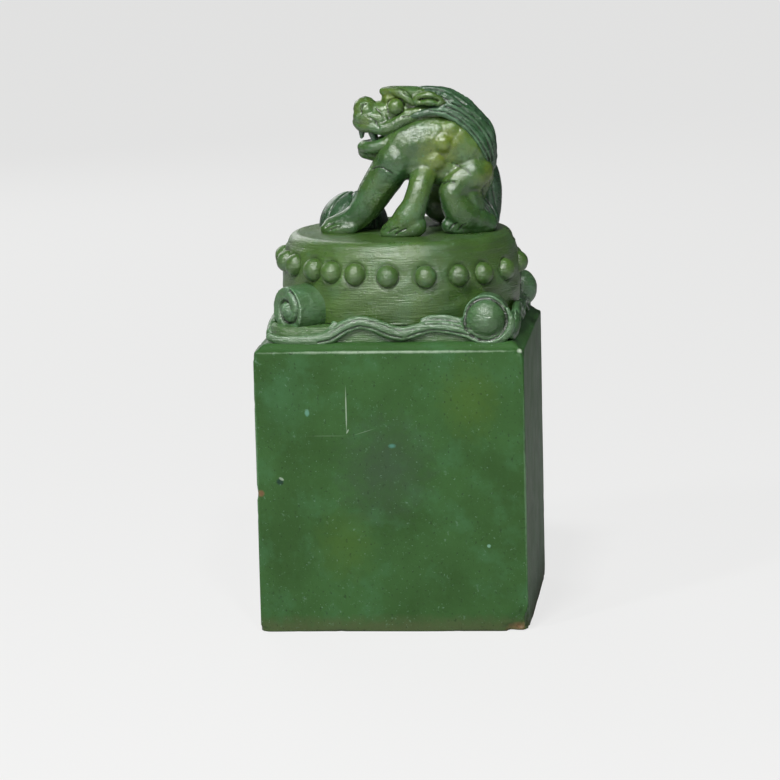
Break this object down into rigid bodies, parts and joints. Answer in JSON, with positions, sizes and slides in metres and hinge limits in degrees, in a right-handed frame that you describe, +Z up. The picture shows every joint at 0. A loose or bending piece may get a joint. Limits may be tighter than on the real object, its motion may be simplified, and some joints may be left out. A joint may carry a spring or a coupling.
{
  "type": "seal stamp",
  "caption": "Square carved green-stone seal stamp: block with a sealing face, topped by a ribbon stand, a studded drum and a crouching lion as the grip.",
  "frame": {"origin": "middle of the sealing face, on the surface that the stamp stands on", "axes": "+Z up through the block, -Y towards the viewer of the picture, +X to the picture's right"},
  "size_m": [0.045, 0.045, 0.0898],
  "materials": {
    "green_stone": "satin gloss polish, slightly translucent"
  },
  "bodies": {
    "root": {"brocade_ball": "green_stone", "drum_barrel": "green_stone", "drum_head": "green_stone", "drum_studs": "green_stone", "lion_brows": "green_stone", "lion_ears": "green_stone", "lion_eyes": "green_stone", "lion_foreleg_left": "green_stone", "lion_foreleg_right": "green_stone", "lion_haunch_left": "green_stone", "lion_haunch_right": "green_stone", "lion_head": "green_stone", "lion_lower_jaw": "green_stone", "lion_mane": "green_stone", "lion_mane_locks": "green_stone", "lion_nostrils": "green_stone", "lion_shank_left": "green_stone", "lion_shank_right": "green_stone", "lion_tail": "green_stone", "lion_teeth": "green_stone", "lion_torso": "green_stone", "ribbon_back": "green_stone", "ribbon_front": "green_stone", "ribbon_left": "green_stone", "ribbon_right": "green_stone", "scroll_back_left": "green_stone", "scroll_back_right": "green_stone", "scroll_front_left": "green_stone", "scroll_front_right": "green_stone", "seal_block": "green_stone", "seal_face": "green_stone", "stand_plinth": "green_stone"}
  },
  "joints": []
}
